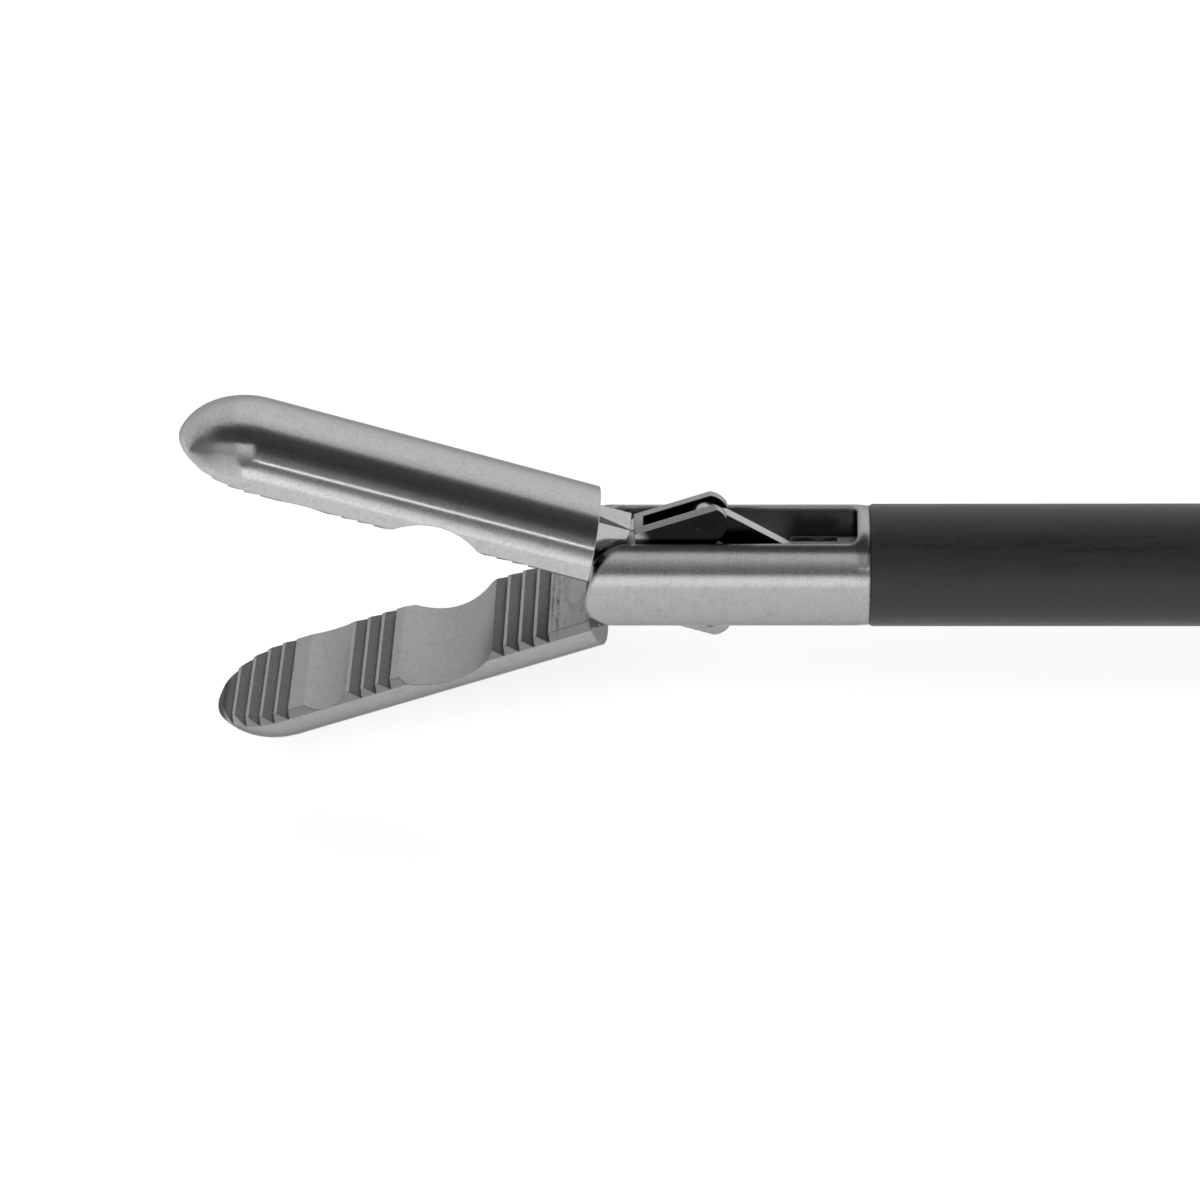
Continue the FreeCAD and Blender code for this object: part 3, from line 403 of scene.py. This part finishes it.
# Plastic and rubber finishes
def insulation_black(name):
    """Shrunk black tube: matt, with a fine grain and faint streaks along the shaft."""
    made = Finish(name, Specular_IOR_Level=0.5)
    streak = made.noise(made.stretched(0.12, 1, 1), scale=2600, detail=3.0, rough=0.6)
    grain = made.noise(made.place, scale=12000, detail=2.0, rough=0.6)
    skin = streak * 0.5 + grain * 0.5
    tone = made.spread(skin, NOISE_LOW, NOISE_HIGH)
    made.feed("Base Color", made.tint(tone, grey(0.004), grey(0.02)))
    made.feed("Roughness", made.gloss(skin, smooth=0.42, dull=0.58))
    made.raise_by(skin, 0.004 * MM)
    return made.material


def moulded(name, dark, light, rough, grain, depth, edge):
    """Moulded plastic or rubber with a spark-eroded skin and soft edges."""
    made = Finish(name, Specular_IOR_Level=0.45)
    skin = made.noise(made.place, scale=1 / grain, detail=3.0, rough=0.6)
    cloud = made.noise(made.place, scale=60, detail=3.0, rough=0.55)
    tone = made.spread(cloud * 0.6 + skin * 0.4, 0.35, 0.65)
    made.feed("Base Color", made.tint(tone, grey(dark), grey(light)))
    made.feed("Roughness", made.gloss(cloud * 0.5 + skin * 0.5,
                                      smooth=rough * 0.85, dull=rough * 1.15))
    made.raise_by(skin, depth, made.soft_edge(edge))
    return made.material


# One finish for each material slot but the jaws'
FINISHES = {
    "clevis_steel": turned_steel("clevis_steel", level=0.38, rough=0.14, edge=0.22 * MM,
                                 shade_and_dull_where=slot_wall),
    "pin_steel": turned_steel("pin_steel", level=0.2, rough=0.22, edge=0.02 * MM),
    "link_steel": satin_steel("link_steel", level=0.42, rough=0.2, grain=0.04 * MM,
                              edge=0.05 * MM, shade=slot_painted_shade),
    "rod_steel": drawn_steel("rod_steel", level=0.5, rough=0.2, edge=0.03 * MM),
    "hub_metal": turned_steel("hub_metal", level=0.55, rough=0.22, edge=0.1 * MM),
    "screw_steel": satin_steel("screw_steel", level=0.5, rough=0.25, grain=0.1 * MM,
                               edge=0.08 * MM),
    "post_metal": turned_steel("post_metal", level=0.62, rough=0.12, edge=0.12 * MM),
    "ratchet_steel": satin_steel("ratchet_steel", level=0.36, rough=0.24, grain=0.06 * MM,
                                 edge=0.08 * MM),
    "spring_bronze": spring_bronze("spring_bronze"),
    "insulation": insulation_black("insulation"),
    "housing_plastic": moulded("housing_plastic", dark=0.026, light=0.044, rough=0.4,
                               grain=0.3 * MM, depth=0.02 * MM, edge=0.5 * MM),
    "knob_plastic": moulded("knob_plastic", dark=0.02, light=0.034, rough=0.34,
                            grain=0.3 * MM, depth=0.014 * MM, edge=0.5 * MM),
    "guide_plastic": moulded("guide_plastic", dark=0.66, light=0.78, rough=0.4,
                             grain=0.2 * MM, depth=0.004 * MM, edge=0.1 * MM),
    "seal_rubber": moulded("seal_rubber", dark=0.03, light=0.05, rough=0.6,
                           grain=0.1 * MM, depth=0.01 * MM, edge=0.1 * MM),
    "ring_insert": moulded("ring_insert", dark=0.14, light=0.19, rough=0.62,
                           grain=0.25 * MM, depth=0.03 * MM, edge=0.4 * MM),
}

# Pieces whose surface differs from the rest of their slot
# The pins in the slot take the same painted shade on their flat ends
pin_steel_painted_shade = satin_steel("pin_steel_painted_shade", level=0.3, rough=0.25, grain=0.02 * MM,
                             edge=0.03 * MM, shade=slot_painted_shade)
OWN_FINISHES = {
    "jaw_upper": jaw_steel("jaw_upper_steel", 1, UPPER_OPEN, level=0.45, grip_tone=0.8,
                           tail_painted_shade=0.7, tip_painted_shade=1.0),
    # The lower jaw's lower level is painted shade: the same steel as the upper jaw, made darker
    "jaw_lower": jaw_steel("jaw_lower_steel", -1, LOWER_OPEN, level=0.37, grip_tone=1.0,
                           tail_painted_shade=SLOT_SIDE_PAINTED_SHADE, tip_painted_shade=0.3),
    "elbow_pin_upper": pin_steel_painted_shade,
    "elbow_pin_lower": pin_steel_painted_shade,
    "rod_pin": pin_steel_painted_shade,
    "rod_fork": satin_steel("fork_steel", level=0.5, rough=0.38, grain=0.06 * MM, edge=0.05 * MM),
}

for part in frame["record"]["subparts"]:
    node = part["node"]
    mesh = frame["nodes"][node].data
    mesh.materials.clear()
    mesh.materials.append(OWN_FINISHES.get(node) or FINISHES[part["material_slot"]])


# New piece
SLEEVE_STEPS_ROUND = 96
SLEEVE_RUNS = 24
SLEEVE_EDGE = 0.14 * MM
SLEEVE_EDGE_STEPS = 5
SLEEVE_ROOM = 0.01 * MM


def add_object(name, form):
    """The bmesh as an object at the origin."""
    mesh = bpy.data.meshes.new(name)
    form.to_mesh(mesh)
    form.free()
    made = bpy.data.objects.new(name, mesh)
    bpy.context.scene.collection.objects.link(made)
    return made


def spun(profile, steps):
    """Closed ring of (x, radius) corners spun about the shaft axis."""
    form = bmesh.new()
    corners = [form.verts.new((x, r, 0)) for x, r in profile]
    edges = [form.edges.new((a, b)) for a, b in zip(corners, corners[1:] + corners[:1])]
    bmesh.ops.spin(form, geom=corners + edges, cent=(0, 0, 0), axis=(1, 0, 0), angle=2 * math.pi,
                   steps=steps, use_merge=True)
    bmesh.ops.recalc_face_normals(form, faces=form.faces)
    return form


def make_sleeve():
    """Insulation with its cut front edge slightly rounded."""
    low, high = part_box("insulation_sleeve")
    front, back, outer = low.x, high.x, high.z
    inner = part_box("shaft_tube")[1].z + SLEEVE_ROOM
    profile = [(front, inner)]
    for i in range(SLEEVE_EDGE_STEPS, -1, -1):
        turn = math.radians(90 * i / SLEEVE_EDGE_STEPS)
        profile.append((front + SLEEVE_EDGE * (1 - math.sin(turn)),
                        outer - SLEEVE_EDGE * (1 - math.cos(turn))))
    straight = front + SLEEVE_EDGE
    for i in range(1, SLEEVE_RUNS):
        profile.append((straight + (back - front - SLEEVE_EDGE) * i / SLEEVE_RUNS, outer))
    profile += [(back, outer), (back, inner)]
    piece = add_object("insulation_tube", spun(profile, SLEEVE_STEPS_ROUND))
    for face in piece.data.polygons:
        face.use_smooth = True
    piece.data.materials.append(FINISHES["insulation"])
    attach(piece, "shaft")
    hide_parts("insulation_sleeve")


make_sleeve()

# Floor
FLOOR_HALF = 3.0
FLOOR_PAINT = 0.88
FLOOR_GLOW = 0.42


def make_floor():
    """Pale floor that keeps the object's shadow and shows white to the camera and in the metal."""
    form = bmesh.new()
    bmesh.ops.create_grid(form, x_segments=1, y_segments=1, size=FLOOR_HALF)
    bmesh.ops.translate(form, verts=form.verts, vec=(0, 0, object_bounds()[0][2]))
    floor = add_object("floor", form)
    paint = Finish("floor_paint", Base_Color=grey(FLOOR_PAINT), Roughness=0.9,
                   Specular_IOR_Level=0.1, Emission_Strength=FLOOR_GLOW)
    seen = paint.node("ShaderNodeLightPath", output="Is Camera Ray")
    mirrored = paint.node("ShaderNodeLightPath", output="Is Glossy Ray")
    passed = paint.node("ShaderNodeLightPath", output="Is Transmission Ray")
    paint.feed("Emission Color", paint.tint(seen + mirrored + passed, grey(0.0), grey(1.0)))
    floor.data.materials.append(paint.material)


# The light tent's panels: brightness by the angle round the shaft in degrees, where 0 is level in
# front and 90 straight up
TENT_MIDDLE = ((0, 1.6), (13, 1.65), (18.6, 1.1), (22, 0.28), (29, 0.27), (38, 0.45), (50, 0.9),
               (60, 1.0), (63.5, 0.12), (79, 0.07), (90, 0.1), (98, 0.2), (106, 0.8), (115, 0.96),
               (130, 1.05), (180, 1.1))
TENT_RIGHT = ((0, 1.6), (8, 1.25), (16, 0.6), (24, 0.3), (30.5, 0.25), (32, 3.0), (33, 3.0),
              (34.5, 0.4), (45, 0.26), (53, 0.1), (67, 0.07), (90, 0.1), (98, 0.2), (106, 0.8),
              (115, 0.96), (124, 1.05), (180, 1.08))
TENT_LEFT = ((0, 1.1), (20, 0.9), (34, 0.7), (44, 0.5), (54, 0.6), (60, 0.5), (65, 0.12),
             (86, 0.08), (96, 0.2), (108, 0.7), (125, 0.9), (180, 0.95))
TENT_FAR_LEFT = ((0, 1.0), (25, 0.6), (45, 0.3), (80, 0.22), (100, 0.6), (130, 0.8), (180, 0.9))
# Each panel takes over from the ones before it between two values of the direction's x
TENT_CHANGES = ((0.13, 0.26, TENT_RIGHT), (-0.06, -0.22, TENT_LEFT), (-0.4, -0.85, TENT_FAR_LEFT))


def make_world():
    """A light tent with long soft panels beside the shaft and a dark gap overhead."""
    world = bpy.data.worlds.new("tent")
    world.use_nodes = True
    bpy.context.scene.world = world
    tent = NodeSheet(world.node_tree)
    toward = tent.node("ShaderNodeTexCoord", output="Generated")
    x, y, z = (tent.part(toward, axis) for axis in "XYZ")
    height = z.maths("ARCTAN2", z, 0.0 - y) / math.pi

    def panel(stops):
        at = [(degrees / 180, level) for degrees, level in stops]
        return tent.node("ShaderNodeValToRGB", {"stops": at}, {"Fac": height}, output="Color")

    light = panel(TENT_MIDDLE)
    for start, end, stops in TENT_CHANGES:
        light = tent.tint(tent.spread(x, start, end), light, panel(stops))
    shine = tent.tree.nodes["Background"]
    tent.tree.links.new(light.socket, shine.inputs["Color"])
    shine.inputs["Strength"].default_value = 1.0


# Lamp
LAMP_PLACE = Vector((-0.25, -0.7, 1.1))
LAMP_AIM = Vector((0.1, 0, 0))
LAMP_WIDTH = 0.9
LAMP_WATTS = 6.0


def make_lamp():
    """A weak disk lamp for soft shadows, which the metal doesn't mirror."""
    lamp = bpy.data.lights.new("soft_lamp", "AREA")
    lamp.shape = "DISK"
    lamp.size = LAMP_WIDTH
    lamp.energy = LAMP_WATTS
    holder = bpy.data.objects.new("soft_lamp", lamp)
    bpy.context.scene.collection.objects.link(holder)
    holder.location = LAMP_PLACE
    holder.rotation_euler = (LAMP_AIM - LAMP_PLACE).to_track_quat("-Z", "Y").to_euler()
    holder.visible_glossy = False


# Camera, where a least-squares fit of the object's outlines to the photograph put it
CAMERA_ELEVATION = math.radians(41.437)
CAMERA_YAW = math.radians(3.052)
CAMERA_ROLL = math.radians(-2.023)
CAMERA_DISTANCE = 165.02 * MM
CAMERA_TARGET = Vector((-11.04, 0, -1.91)) * MM
CAMERA_LENS = 120.03
CAMERA_SENSOR = 36
CAMERA_CLIP = 0.01


def make_camera():
    level = math.cos(CAMERA_ELEVATION)
    back = Vector((math.sin(CAMERA_YAW) * level, -math.cos(CAMERA_YAW) * level,
                   math.sin(CAMERA_ELEVATION)))
    right = Vector((0, 0, 1)).cross(back).normalized()
    up = back.cross(right)
    across = right * math.cos(CAMERA_ROLL) + up * math.sin(CAMERA_ROLL)
    along = up * math.cos(CAMERA_ROLL) - right * math.sin(CAMERA_ROLL)
    camera = bpy.data.cameras.new("camera")
    camera.sensor_width = CAMERA_SENSOR
    camera.lens = CAMERA_LENS
    camera.clip_start = CAMERA_CLIP
    holder = bpy.data.objects.new("camera", camera)
    bpy.context.scene.collection.objects.link(holder)
    turn = Matrix((across, along, back)).transposed()
    holder.matrix_world = Matrix.Translation(CAMERA_TARGET + back * CAMERA_DISTANCE) @ turn.to_4x4()
    bpy.context.scene.camera = holder


make_floor()
make_world()
make_lamp()
make_camera()
bpy.context.scene.view_settings.view_transform = "Standard"
